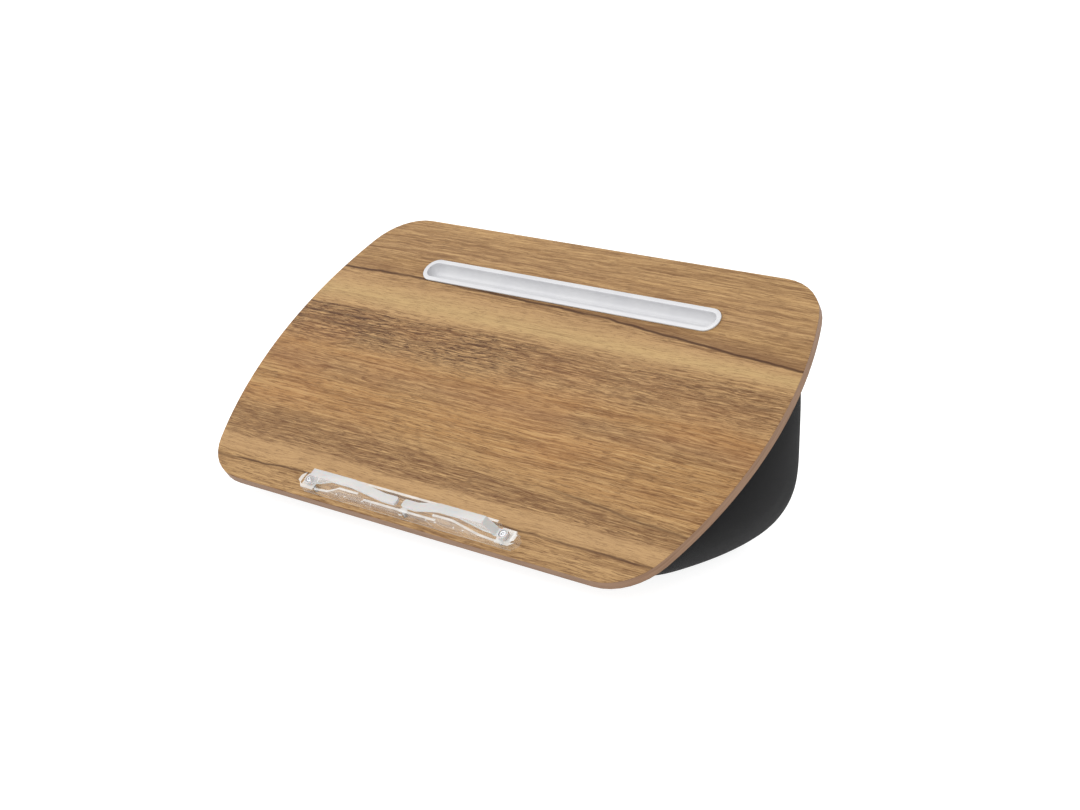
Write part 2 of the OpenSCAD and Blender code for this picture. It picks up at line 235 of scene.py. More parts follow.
# The veneer's tones, from pale to dark
PALE = srgb(200, 170, 125)
STRAW = srgb(190, 155, 115)
HONEY = srgb(180, 145, 105)
OAK = srgb(170, 135, 95)
RUSSET = srgb(175, 135, 90)
BROWN = srgb(160, 125, 90)
UMBER = srgb(150, 115, 80)
# Where each tone is reached, in millimetres up the slope from the board's middle
BANDS = ((-135, OAK), (-125, HONEY), (-117, OAK), (-110, STRAW), (-100, STRAW), (-95, BROWN),
         (-85, UMBER), (-75, UMBER), (-70, OAK), (-60, RUSSET), (-35, RUSSET), (-20, BROWN),
         (-5, RUSSET), (5, HONEY), (20, BROWN), (36, BROWN), (39, STRAW), (50, PALE),
         (65, STRAW), (80, BROWN), (90, OAK), (101, BROWN), (103, STRAW), (105, BROWN),
         (130, HONEY), (135, HONEY))
VENEER_HALF_DEPTH = 135
# The heights at which the bands over and under the middle meet their neighbours
UPPER_EDGE = 75
LOWER_EDGE = -73
LINE_DARK = srgb(78, 50, 34)


def veneer_material():
    """Printed oak-look veneer: bands, wandering dark lines, flecks, streaks and pores."""
    s = Shader("oak_veneer", IOR=1.46)
    place = s.board()
    u, v, _ = s.split(place)

    # The grain drifts a little along the board, and each edge of a band follows it
    drift = s.noise(s.place(place, (0.006, 0.03, 0)), detail=3)
    ripple = s.noise(s.place(place, (0.03, 0.12, 0), (7, 3, 0)), detail=3)
    flow = s.total(v, s.times(s.math("SUBTRACT", drift, 0.5), 7.0),
                   s.times(s.math("SUBTRACT", ripple, 0.5), 3.2))

    # Above the long dark line the bands sink to the right with it
    upper_line = s.path(u, ((-235, 75), (-160, 77), (-60, 75), (30, 73), (100, 68),
                            (165, 63), (235, 58)))
    lower_edge = s.path(u, ((-235, -71), (-120, -70), (0, -77), (120, -84), (235, -87)))
    sink_top = s.times(s.math("SUBTRACT", UPPER_EDGE, upper_line), s.rise(v, 44, 66))
    sink_low = s.times(s.math("SUBTRACT", LOWER_EDGE, lower_edge), s.span(v, -92, -68, 8))
    colour = s.ramp(s.total(flow, sink_top, sink_low), -VENEER_HALF_DEPTH,
                    VENEER_HALF_DEPTH, BANDS)

    # Where the grain is busy, and where it is nearly plain
    grain_place = s.join(u, flow, 0.0)
    banded = s.total(flow, sink_low)
    dark_band = s.times(s.rise(flow, 35.5, 38.0, 1.0, 0.0), s.rise(flow, -10, 14))
    second_band = s.span(banded, -96, -74, 2.5)
    calm = s.total(s.span(s.total(flow, sink_top), 42, 68, 4), s.span(flow, -113, -99, 2))
    busy = s.total(1.0, s.times(calm, -0.62))
    left = s.rise(u, -60, 60, 1.0, 0.5)
    # Short dark dashes are strongest in the middle of the board, and weak by the slot
    dashes = s.rise(flow, 62, 84, 0.62, 0.3)

    # Layers of grain: stretch along and across, shift, waviness, threshold, weight and colour
    layers = (
        ((0.0045, 0.16), (3, 1), 0.4, (0.48, 0.62), s.times(busy, 0.42), (118, 80, 50)),
        ((0.005, 0.22), (9, 4), 0.4, (0.5, 0.64), s.times(busy, 0.34), (206, 168, 120)),
        ((0.014, 0.62), (0, 7), 0.4, (0.48, 0.62), s.times(busy, 0.46), (108, 72, 46)),
        ((0.014, 0.7), (5, 2), 0.4, (0.5, 0.64), s.times(busy, 0.42), (216, 180, 132)),
        ((0.08, 0.85), (11, 5), 0.9, (0.49, 0.55), s.times(dark_band, left, 0.95),
         (86, 58, 42)),
        ((0.06, 0.7), (21, 9), 0.7, (0.55, 0.62), s.times(dark_band, 0.75), (200, 164, 122)),
        ((0.075, 0.9), (15, 5), 0.6, (0.5, 0.58), s.times(second_band, 0.6), (104, 72, 50)),
        ((0.013, 0.5), (2, 17), 0.5, (0.54, 0.63),
         s.times(dark_band, s.rise(u, -60, -180, 0.4, 0.95)), (82, 56, 42)),
        ((0.07, 1.05), (6, 8), 0.3, (0.52, 0.59), s.times(busy, dashes), (98, 62, 38)),
        ((0.04, 1.05), (8, 3), 0.3, (0.52, 0.6), s.times(busy, 0.34), (224, 188, 140)),
        ((0.11, 2.2), (1, 2), 0.0, (0.55, 0.64), 0.55, (92, 62, 40)),
    )
    for (along, across), (du, dv), wave, (low, high), weight, tint in layers:
        pattern = s.noise(s.place(grain_place, (along, across, 0), (du, dv, 0)), detail=5,
                          roughness=0.62, distortion=wave)
        colour = s.mix(s.times(s.rise(pattern, low, high), weight), colour, srgb(*tint))
    fine = s.noise(s.place(grain_place, (0.11, 2.8, 0), (1, 2, 0)), detail=5, roughness=0.62)

    # Light wavy lines in the reddish middle
    glints = s.noise(s.place(grain_place, (0.008, 0.26, 0), (19, 2, 0)), detail=3, distortion=0.6)
    colour = s.mix(s.times(s.rise(glints, 0.6, 0.66), s.span(flow, -66, -30, 8), 0.55), colour,
                   srgb(206, 170, 122))
    # A reddish cast that comes and goes
    cast = s.noise(s.place(place, (0.008, 0.022, 0), (5, 1, 0)), detail=2)
    red_weight = s.times(s.rise(cast, 0.4, 0.62), s.span(flow, -66, 26, 18), 0.16)
    colour = s.mix(red_weight, colour, srgb(172, 112, 68))

    # The dark lines: height, half width, weight, shade beside it and how far that reaches
    wander = s.times(s.math("SUBTRACT", s.noise(s.place(place, (0.045, 0.02, 0)), 3), 0.5), 3.0)
    lower_line = s.path(u, ((-235, -120), (-170, -118), (-110, -115), (0, -113),
                            (120, -114), (235, -114)))
    right_line = s.path(u, ((-235, -76), (60, -76), (130, -79), (180, -84), (235, -87)))
    left_line = s.path(u, ((-235, 20), (-190, 19), (-130, 21), (-60, 15), (235, 14)))
    lines = (
        (upper_line, 0.75, 1.0, s.rise(u, -120, 160, 0.3, 0.75), 15.0),
        (lower_line, 0.6, 0.85, s.rise(u, -100, 200, 0.25, 0.4), -5.0),
        (right_line, 0.7, s.rise(u, 70, 130, 0.0, 0.6), s.rise(u, 70, 130, 0.0, 0.4), -6.0),
        (left_line, 0.9, s.rise(u, -170, -120, 0.6, 0.0), s.rise(u, -170, -120, 0.5, 0.0), 5.0),
    )
    strength = s.noise(s.place(place, (0.02, 0.02, 0), (4, 8, 0)), detail=3)
    for line, half_width, weight, shade, reach in lines:
        gap = s.math("SUBTRACT", v, s.math("ADD", line, wander))
        thin = s.rise(s.math("ABSOLUTE", gap), half_width * 0.4, half_width * 2.2, 1.0, 0.0)
        side = s.times(s.rise(gap, reach * 0.02, reach, 1.0, 0.0),
                       s.rise(s.times(gap, math.copysign(1, reach)), -0.6, 0.3))
        colour = s.mix(s.times(side, shade, 0.62), colour, srgb(118, 84, 58))
        colour = s.mix(s.times(thin, weight, s.rise(strength, 0.3, 0.55, 0.5, 0.92)), colour,
                       LINE_DARK)

    s.set("Base Color", s.mix(1.0, colour, (1.0, 0.96, 0.84, 1.0), "MULTIPLY"))
    s.set("Specular IOR Level", 0.15)
    s.set("Roughness", s.rise_linear(fine, 0.3, 0.7, 0.5, 0.62))
    s.bump(s.times(s.rise(fine, 0.56, 0.68), -1.0), 0.00008, 0.6)
    return s.material


def board_edge_material():
    s = Shader("board_edge", Roughness=0.55)
    place = s.board()
    streaks = s.noise(s.place(place, (0.03, 0.03, 1.6)), detail=5, roughness=0.6)
    blotches = s.noise(s.place(place, (0.02, 0.02, 0.1), (3, 1, 0)), detail=2)
    colour = s.mix(s.rise(streaks, 0.35, 0.65), srgb(158, 124, 98), srgb(138, 105, 80))
    colour = s.mix(s.times(s.rise(blotches, 0.4, 0.65), 0.4), colour, srgb(164, 131, 105))
    s.set("Specular IOR Level", 0.25)
    s.set("Base Color", colour)
    s.bump(streaks, 0.00006, 0.5)
    return s.material


def fibreboard_material():
    s = Shader("fibreboard", Roughness=0.9)
    specks = s.noise(s.millimetres(), detail=6, roughness=0.7, scale=1.4)
    s.set("Base Color", s.mix(s.rise(specks, 0.3, 0.7), srgb(196, 164, 120), srgb(150, 118, 82)))
    s.bump(specks, 0.0002, 0.6)
    return s.material


def moulded_material(name, light, dark, roughness, **settings):
    """Moulded plastic: a faint mottle in the colour and the fine texture of the mould."""
    s = Shader(name, **settings)
    place = s.millimetres()
    mottle = s.noise(place, detail=3, scale=0.06)
    skin = s.noise(place, detail=4, roughness=0.6, scale=3.0)
    s.set("Base Color", s.mix(s.rise(mottle, 0.3, 0.7), light, dark))
    s.set("Roughness", s.rise_linear(skin, 0.3, 0.7, roughness * 0.85, roughness * 1.15))
    s.bump(skin, 0.00002, 0.35)
    return s.material


def clear_material(name, through, facing, tint, roughness, foot=0.0):
    """Clear plastic: see-through where it is faced squarely, and whiter and more opaque towards
    grazing angles, a painted reflection of the white studio; by foot it is also whiter and more
    opaque where it meets the board."""
    s = Shader(name, Roughness=roughness, IOR=1.49)
    place = s.millimetres()
    mottle = s.noise(place, detail=2, scale=0.15)
    skin = s.noise(place, detail=3, scale=0.5)
    s.set("Base Color", s.mix(s.rise(mottle, 0.3, 0.7), srgb(*tint), srgb(236, 236, 234)))
    # Opacity rises from through to facing towards grazing angles: a painted reflection of the
    # white studio
    layer = s.add("ShaderNodeLayerWeight")
    layer.inputs["Blend"].default_value = 0.4
    over_board = s.split(s.board())[2]
    s.set("Alpha", s.total(s.rise_linear(layer.outputs["Facing"], 0.05, 0.95, through, facing),
                           s.rise(over_board, 0.5, 1.0, foot, 0.0)))
    s.bump(skin, 0.00003, 0.25)
    return s.material


def metal_material(name, light, dark, roughness):
    s = Shader(name, Metallic=1.0)
    place = s.millimetres()
    brushed = s.noise(s.place(place, (6, 0.6, 6)), detail=4, roughness=0.6)
    wear = s.noise(place, detail=4, scale=0.5)
    s.set("Base Color", s.mix(s.rise(brushed, 0.3, 0.7), light, dark))
    s.set("Roughness", s.rise_linear(wear, 0.3, 0.7, roughness * 0.8, roughness * 1.3))
    s.bump(brushed, 0.00001, 0.4)
    return s.material


def weave_height(s, a, b, pitch):
    """Plain weave over two coordinates in millimetres: threads that pass over and under."""
    warp = s.math("SINE", s.times(a, math.pi / pitch))
    weft = s.math("SINE", s.times(b, math.pi / pitch))
    return s.math("ABSOLUTE", s.times(warp, weft))


def fabric_material(name, light, dark, pitch, depth, sheen, roughness=0.85):
    """Woven cloth. The weave is laid over the surface from the side it faces most."""
    s = Shader(name, Sheen_Weight=sheen, Sheen_Roughness=0.45, IOR=1.4)
    place = s.millimetres()
    x, y, z = s.split(place)
    normal = s.split(s.add("ShaderNodeTexCoord").outputs["Normal"])
    faces = [s.rise(s.math("ABSOLUTE", n), 0.45, 0.75) for n in normal]
    height = s.total(s.times(weave_height(s, y, z, pitch), faces[0]),
                     s.times(weave_height(s, x, z, pitch), faces[1]),
                     s.times(weave_height(s, x, y, pitch), faces[2]))
    s.set("Specular IOR Level", 0.08)
    fuzz = s.noise(place, detail=4, roughness=0.65, scale=1.1)
    cloud = s.noise(place, detail=3, scale=0.02)
    # Low threads are painted darker and high threads lighter: painted shade in the weave's hollows
    colour = s.mix(s.rise(height, 0.1, 0.9), dark, light)
    colour = s.mix(s.times(s.rise(fuzz, 0.5, 0.75), 0.35), colour, light)
    colour = s.mix(s.times(s.rise(cloud, 0.4, 0.65), 0.3), colour, dark)
    s.set("Base Color", colour)
    s.set("Roughness", s.rise_linear(fuzz, 0.3, 0.7, roughness * 0.95, min(1, roughness * 1.1)))
    s.bump(s.total(height, s.times(fuzz, 0.6)), depth, 0.7)
    return s.material


def hook_material(name, light, dark, pitch):
    """Hook or loop tape: rows of small tufts."""
    s = Shader(name, Roughness=0.9, Sheen_Weight=0.3)
    place = s.board()
    tufts = s.cells(place, 1 / pitch)
    fibres = s.noise(place, detail=5, roughness=0.7, scale=2.0)
    # Tuft tops are painted lighter and the gaps between tufts darker: painted shade between the
    # tufts
    s.set("Base Color", s.mix(s.rise(s.total(tufts, s.times(fibres, 0.4)), 0.2, 0.8), light, dark))
    s.bump(s.total(s.math("SUBTRACT", 1.0, tufts), fibres), 0.0005, 0.8)
    return s.material


def foam_material():
    s = Shader("open_cell_foam", Roughness=0.95)
    pores = s.cells(s.millimetres(), 1.3)
    # The pores' hollows are painted darker: painted shade in the pores
    s.set("Base Color", s.mix(s.rise(pores, 0.1, 0.6), srgb(80, 80, 82), srgb(140, 141, 144)))
    s.bump(pores, 0.0006, 0.8)
    return s.material


MATERIALS = {
    "wood_face": veneer_material(),
    "board_edge": board_edge_material(),
    "mdf": fibreboard_material(),
    "white_plastic": moulded_material("white_tray", srgb(220, 220, 222), srgb(214, 214, 217),
                                      0.4, Coat_Weight=0.1),
    "clear_plastic": clear_material("clear_stop", 0.0, 0.2, (255, 255, 253), 0.06),
    # The clear stop's edge finish: whiter and more opaque, a painted highlight on its edges and
    # narrow tops
    "clear_edge_highlight": clear_material("clear_stop_edge_highlight", 0.55, 0.8, (255, 255, 253), 0.15),
    "clear_wall": clear_material("clear_stop_wall", 0.03, 0.2, (255, 255, 253), 0.2,
                                  foot=0.5),
    "arm_side": clear_material("frosted_arm_side", 0.3, 0.5, (226, 228, 231), 0.25),
    "frosted_plastic": moulded_material("frosted_arm", srgb(208, 207, 204), srgb(201, 200, 198),
                                        0.3, IOR=1.46, Subsurface_Weight=0.3,
                                        Subsurface_Scale=0.004),
    "pad": moulded_material("silicone_pad", srgb(226, 230, 232), srgb(214, 219, 222), 0.5,
                            Transmission_Weight=0.2, IOR=1.41),
    "steel": metal_material("screw_steel", srgb(226, 227, 229), srgb(206, 207, 210), 0.38),
    "zip_metal": metal_material("dark_nickel", srgb(122, 123, 128), srgb(92, 93, 98), 0.3),
    "hook_tape": hook_material("hook_tape", srgb(44, 44, 46), srgb(20, 20, 21), 1.6),
    "loop_tape": hook_material("loop_tape", srgb(58, 58, 61), srgb(30, 30, 32), 0.9),
    "cover_fabric": fabric_material("charcoal_cover", srgb(38, 38, 39), srgb(27, 27, 28), 0.55,
                                    0.0001, sheen=0.055),
    "base_fabric": fabric_material("base_cloth", srgb(50, 51, 54), srgb(30, 31, 33), 1.1,
                                   0.0003, sheen=0.2),
    "zip_tape": fabric_material("zip_tape_cloth", srgb(46, 46, 49), srgb(26, 26, 28), 0.45,
                                0.00015, sheen=0.25),
    "zip_teeth": moulded_material("zip_teeth", srgb(40, 40, 43), srgb(30, 30, 32), 0.4),
    "foam": foam_material(),
    "thread": fabric_material("stitch_thread", srgb(70, 71, 75), srgb(52, 53, 56), 0.3,
                              0.0001, sheen=0.3),
}


def finish_piece(obj, slot, body, *nodes):
    """Gives a new piece its material and its body, and hides the CAD nodes that it stands for."""
    if not obj.data.materials:
        obj.data.materials.append(MATERIALS[slot])
    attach(obj, body)
    if nodes:
        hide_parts(*nodes)
    return obj


def object_from(bm, name):
    mesh = bpy.data.meshes.new(name)
    bm.to_mesh(mesh)
    bm.free()
    obj = bpy.data.objects.new(name, mesh)
    bpy.context.scene.collection.objects.link(obj)
    return obj


def smooth(obj, angle=35):
    """Smooth shading, apart from edges sharper than angle."""
    for face in obj.data.polygons:
        face.use_smooth = True
    obj.data.set_sharp_from_angle(angle=math.radians(angle))


def applied(obj):
    """Bakes obj's modifiers into its mesh."""
    evaluated = obj.evaluated_get(bpy.context.evaluated_depsgraph_get())
    mesh = bpy.data.meshes.new_from_object(evaluated)
    obj.modifiers.clear()
    obj.data = mesh
    return obj


def node_bmesh(node):
    """A CAD node's mesh as clean flat faces, ready to bevel."""
    bm = bmesh.new()
    bm.from_mesh(NODES[node].data)
    for layer in [x for x in bm.loops.layers.uv]:
        bm.loops.layers.uv.remove(layer)
    bmesh.ops.remove_doubles(bm, verts=bm.verts, dist=0.000002)
    bmesh.ops.dissolve_limit(bm, angle_limit=math.radians(0.5), verts=bm.verts, edges=bm.edges)
    return bm


# Finishes of a piece whose faces don't all look alike: the first is the plain one
FACE_FINISHES = {
    "clear_plastic": ("clear_plastic", "clear_edge_highlight", "clear_wall"),
    "frosted_plastic": ("frosted_plastic", "arm_side"),
}
# The clear rail's underside stands this far off the board's face, so the face shows through
CLEAR_LIFT = 0.1 * MM
# Heights over the board: what rests on it, where the rail's walls start, and its base's top
RESTING = 0.05 * MM
WALL_START = 1.2 * MM
BASE_TOP = 2 * MM
# A face counts as upright, or as a top, when its normal leans this much that way
UPRIGHT = 0.9
TOP = 0.5
# Edges sharper than this many degrees are rounded
EASE_ANGLE = 28


def eased(node, name, slot, body, width, segments):
    """Stands for a CAD node with its edges rounded to width, which the real part has.
    A clear piece's edges and narrow tops get a whiter, more opaque finish, a painted highlight for
    the light that real clear edges gather. Its walls are a little milky, and an arm's sides are
    clearer than its frosted top."""
    obj = object_from(node_bmesh(node), name)
    bevel = obj.modifiers.new("ease", "BEVEL")
    bevel.width = width
    bevel.segments = segments
    bevel.limit_method = "ANGLE"
    bevel.angle_limit = math.radians(EASE_ANGLE)
    bevel.miter_outer = "MITER_ARC"
    bevel.use_clamp_overlap = True
    for finish in FACE_FINISHES.get(slot, ()):
        obj.data.materials.append(MATERIALS[finish])
    # The bevels of a clear piece take the edge finish, a painted highlight
    if slot == "clear_plastic":
        bevel.material = 1
    applied(obj)
    if slot == "clear_plastic":
        for v in obj.data.vertices:
            if abs(height_over_board(v.co)) < RESTING:
                v.co += BOARD_NORMAL * CLEAR_LIFT
    for face in obj.data.polygons:
        upright = abs(face.normal.dot(BOARD_SLOPE)) > UPRIGHT
        if slot == "frosted_plastic":
            face.material_index = int(upright)
        # Low upright faces and the tops above the base take the edge finish, a painted highlight
        elif slot == "clear_plastic" and upright:
            face.material_index = 2 if height_over_board(face.center) > WALL_START else 1
        elif slot == "clear_plastic" and face.normal.dot(BOARD_NORMAL) > TOP:
            face.material_index = int(height_over_board(face.center) > BASE_TOP)
    smooth(obj)
    return finish_piece(obj, slot, body, node)


# ---------- hard parts ----------

# CAD node, name, finish, body, width of the rounding in millimetres and its segments
EASED = (
    ("wood_veneer", "board_veneer", "wood_face", "base", 0.3, 2),
    ("edge_band", "board_edging", "board_edge", "base", 0.1, 1),
    ("backing_laminate", "board_backing", "board_edge", "base", 0.3, 2),
    ("slot_tray", "device_slot", "white_plastic", "base", 0.45, 3),
    ("stop_rail", "book_stop", "clear_plastic", "base", 0.45, 1),
    ("page_arm_left", "arm_left", "frosted_plastic", "page_arm_left", 0.35, 3),
    ("page_arm_right", "arm_right", "frosted_plastic", "page_arm_right", 0.35, 3),
    ("tip_pad_left", "arm_pad_left", "pad", "page_arm_left", 0.25, 3),
    ("tip_pad_right", "arm_pad_right", "pad", "page_arm_right", 0.25, 3),
    ("pivot_screws", "arm_screws", "steel", "base", 0.15, 2),
    ("pivot_washers", "arm_washers", "pad", "base", 0.1, 2),
    ("rail_screws", "stop_screws", "steel", "base", 0.1, 2),
    ("zip_end_stops", "zip_stops", "zip_metal", "base", 0.3, 2),
    ("zip_slider", "zip_runner", "zip_metal", "zip_slider_body", 0.25, 3),
    ("zip_pull", "zip_tab", "zip_metal", "zip_pull_body", 0.25, 3),
)
for node, name, slot, body, width, segments in EASED:
    piece = eased(node, name, slot, body, width * MM, segments)
    # Clear and frosted parts throw no shadow that can be seen on the wood
    piece.visible_shadow = piece.visible_diffuse = slot not in FACE_FINISHES
NODES["board_core"].data.materials.clear()
NODES["board_core"].data.materials.append(MATERIALS["mdf"])
for node, name, slot in (("hook_strips", "hook_tapes", "hook_tape"),
                         ("loop_strips", "loop_tapes", "loop_tape")):
    eased(node, name, slot, "base", 0.3 * MM, 2)

# ---------- cushion ----------

VOXEL = 5.5 * MM
# The outer form is shrunk before it swells, and no point swells by more than the cap
SHRINK = 0.2 * MM
SWELL_CAP = 2.2 * MM
SWELL_PRESSURE = 4.0
# Left free under the board and its strips, and over the table and behind the zip
RIM_GAP = 0.25 * MM
CLEARANCE = 0.1 * MM
# The hollow for the strips reaches this far past their ends and their sides
STRIP_ENDS = 4 * MM
STRIP_SIDES = 6 * MM
# Height of the cloth's slight unevenness, and how many of its waves go into a metre
UNEVENNESS = 0.5 * MM
WAVES = 14
# How steeply the cover may stand up again beside the zip, which holds it in
ZIP_DIMPLE = 0.12
board_low = min(height_over_board(v.co) for v in NODES["backing_laminate"].data.vertices)
strips_low = min(height_over_board(v.co) for v in NODES["loop_strips"].data.vertices)
strips_from, strips_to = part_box("loop_strips")
tape_low, tape_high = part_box("zip_tape")


def push(obj, distance):
    """Moves every point along its normal. The normals are read first, as a move resets them."""
    for vertex, normal in zip(obj.data.vertices, [v.normal.copy() for v in obj.data.vertices]):
        vertex.co += normal * distance(vertex.co)


def swell(obj, pressure, cap, frames=20):
    """Blows the piece up as cloth, and keeps each point within cap of where it was."""
    start = [v.co.copy() for v in obj.data.vertices]
    cloth = obj.modifiers.new("swell", "CLOTH")
    cloth.settings.use_pressure = True
    cloth.settings.uniform_pressure_force = pressure
    cloth.settings.effector_weights.gravity = 0
    cloth.settings.quality = 6
    for step in range(1, frames + 1):
        bpy.context.scene.frame_set(step)
    moved = obj.evaluated_get(bpy.context.evaluated_depsgraph_get()).data.vertices
    ends = [v.co.copy() for v in moved]
    obj.modifiers.remove(cloth)
    bpy.context.scene.frame_set(1)
    for vertex, a, b in zip(obj.data.vertices, start, ends):
        move = b - a
        vertex.co = a + move * min(1, cap / max(move.length, 1e-9))


def soften(obj, rounds):
    """Evens out the surface. A point stays between its neighbours, so what is pressed flat
    stays flat."""
    even = obj.modifiers.new("even", "SMOOTH")
    even.iterations = rounds
    applied(obj)


def press(obj):
    """Holds the cushion over the table, under the board and its strips, and behind the zip."""
    for vertex in obj.data.vertices:
        co = vertex.co
        co.z = max(co.z, CLEARANCE)
        over_strips = (strips_from.x - STRIP_ENDS < co.x < strips_to.x + STRIP_ENDS
                       and strips_from.y - STRIP_SIDES < co.y < strips_to.y + STRIP_SIDES)
        ceiling = (strips_low if over_strips else board_low) - RIM_GAP
        co -= BOARD_NORMAL * max(0, height_over_board(co) - ceiling)
        if co.y > 0:
            beside_zip = max(0, tape_low.x - co.x, co.x - tape_high.x, tape_low.z - co.z,
                             co.z - tape_high.z)
            co.y = min(co.y, tape_low.y - CLEARANCE + ZIP_DIMPLE * beside_zip)


def cushion():
    """The wedge cushion: the CAD cover's outer form, shrunk, blown up and pressed flat."""
    bm = bmesh.new()
    for corner in sorted({tuple(round(x, 5) for x in v.co)
                          for v in NODES["cushion_cover"].data.vertices}):
        bm.verts.new(corner)
    hull = bmesh.ops.convex_hull(bm, input=bm.verts)
    inside = {v for v in hull["geom_interior"] + hull["geom_unused"]
              if isinstance(v, bmesh.types.BMVert)}
    bmesh.ops.delete(bm, geom=list(inside), context="VERTS")
    obj = object_from(bm, "cushion")
    remesh = obj.modifiers.new("remesh", "REMESH")
    remesh.mode = "VOXEL"
    remesh.voxel_size = VOXEL
    applied(obj)
    push(obj, lambda co: -SHRINK)
    swell(obj, SWELL_PRESSURE, SWELL_CAP)
    press(obj)
    soften(obj, 8)
    divide = obj.modifiers.new("divide", "SUBSURF")
    divide.levels = 1
    applied(obj)
    push(obj, lambda co: noise.noise(co * WAVES) * UNEVENNESS)
    press(obj)
    soften(obj, 4)
    smooth(obj, 60)
    return finish_piece(obj, "cover_fabric", "base", "cushion_cover", "cushion_top_panel",
                        "foam_core")


cushion()


def base_panel():
    """The anti-slip panel under the cushion, slightly proud, with a turned edge."""
    obj = object_from(node_bmesh("cushion_base_panel"), "base_panel")
    bevel = obj.modifiers.new("ease", "BEVEL")
    bevel.width = 0.6 * MM
    bevel.segments = 3
    applied(obj)
    smooth(obj)
    return finish_piece(obj, "base_fabric", "base", "cushion_base_panel")


base_panel()

# ---------- zip ----------

TOOTH_PITCH = 1.5 * MM
TOOTH_HALF_WIDTH = 0.52 * MM
CORD_HALF = 0.35 * MM
CORD_HEIGHT = 0.9 * MM
TAPE_COLUMNS, TAPE_ROWS = 260, 24
PUCKER = 0.12 * MM
PUCKER_WAVE = 3.1 * MM
TAPE_ROUNDING = 0.35 * MM
# The stitches' distance from each other and from the tape's edges
STITCH = 3 * MM
STITCH_INSET = 2 * MM


def box_into(bm, low, high, taper=0.0):
    """Adds a box, its outer (+Y) face narrowed by taper."""
    corners = [Vector((x, y, z)) for x in (low.x, high.x) for y in (low.y, high.y)
               for z in (low.z, high.z)]
    middle = (low + high) / 2
    made = []
    for corner in corners:
        if corner.y == high.y:
            corner.x += math.copysign(taper, middle.x - corner.x)
            corner.z += math.copysign(taper, middle.z - corner.z)
        made.append(bm.verts.new(corner))
    for face in ((0, 1, 3, 2), (4, 6, 7, 5), (0, 4, 5, 1), (2, 3, 7, 6), (0, 2, 6, 4),
                 (1, 5, 7, 3)):
        bm.faces.new([made[i] for i in face])


def zip_chain():
    """Moulded teeth that reach past the middle from each side in turn, on two cords."""
    low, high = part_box("zip_chain")
    middle = (low.z + high.z) / 2
    half = (high.z - low.z) / 2
    bm = bmesh.new()
    count = int((high.x - low.x) / TOOTH_PITCH) - 1
    for number in range(count):
        side = 1 if number % 2 else -1
        x = low.x + TOOTH_PITCH * (number + 1)
        ends = sorted((middle + side * (half - 0.2 * MM), middle - side * 0.35 * half))
        box_into(bm, Vector((x - TOOTH_HALF_WIDTH, low.y + 0.3 * MM, ends[0])),
                 Vector((x + TOOTH_HALF_WIDTH, high.y, ends[1])), taper=0.18 * MM)
    for side in (-1, 1):
        z = middle + side * (half - CORD_HALF)
        box_into(bm, Vector((low.x, low.y, z - CORD_HALF)),
                 Vector((high.x, low.y + CORD_HEIGHT, z + CORD_HALF)), taper=0.12 * MM)
    box_into(bm, Vector((low.x, low.y, middle - half + 0.3 * MM)),
             Vector((high.x, low.y + 0.35 * MM, middle + half - 0.3 * MM)))
    obj = object_from(bm, "zip_teeth_rows")
    bevel = obj.modifiers.new("ease", "BEVEL")
    bevel.width = 0.1 * MM
    bevel.segments = 2
    applied(obj)
    smooth(obj)
    return finish_piece(obj, "zip_teeth", "base", "zip_chain")


def zip_tape():
    """The tape: a thin strip with rounded-off edges, gently puckered along its stitches."""
    low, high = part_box("zip_tape")
    bm = bmesh.new()
    columns, rows = TAPE_COLUMNS, TAPE_ROWS
    grid = {}
    for i in range(columns + 1):
        for j in range(rows + 1):
            s, t = i / columns, j / rows
            x = low.x + (high.x - low.x) * s
            z = low.z + (high.z - low.z) * t
            edge = min(t, 1 - t) * (high.z - low.z)
            pucker = (PUCKER * math.sin(x / PUCKER_WAVE)
                      * math.exp(-((edge - STITCH_INSET) / MM) ** 2))
            to_rim = min(edge, min(s, 1 - s) * (high.x - low.x))
            round_off = TAPE_ROUNDING * max(0, 1 - to_rim / MM) ** 2
            front = high.y - round_off + pucker - PUCKER
            for skin, y in enumerate((low.y - 0.4 * MM, front)):
                grid[i, j, skin] = bm.verts.new((x, y, z))
    for i in range(columns):
        for j in range(rows):
            bm.faces.new([grid[a, b, 0] for a, b in ((i, j), (i + 1, j), (i + 1, j + 1),
                                                     (i, j + 1))])
            bm.faces.new([grid[a, b, 1] for a, b in ((i, j), (i, j + 1), (i + 1, j + 1),
                                                     (i + 1, j))])
    rim = ([(i, 0) for i in range(columns)] + [(columns, j) for j in range(rows)]
           + [(i, rows) for i in range(columns, 0, -1)] + [(0, j) for j in range(rows, 0, -1)])
    for here, there in zip(rim, rim[1:] + rim[:1]):
        bm.faces.new([grid[(*here, 0)], grid[(*here, 1)], grid[(*there, 1)], grid[(*there, 0)]])
    bmesh.ops.recalc_face_normals(bm, faces=bm.faces)
    obj = object_from(bm, "zip_band")
    smooth(obj, 50)
    return finish_piece(obj, "zip_tape", "base", "zip_tape")


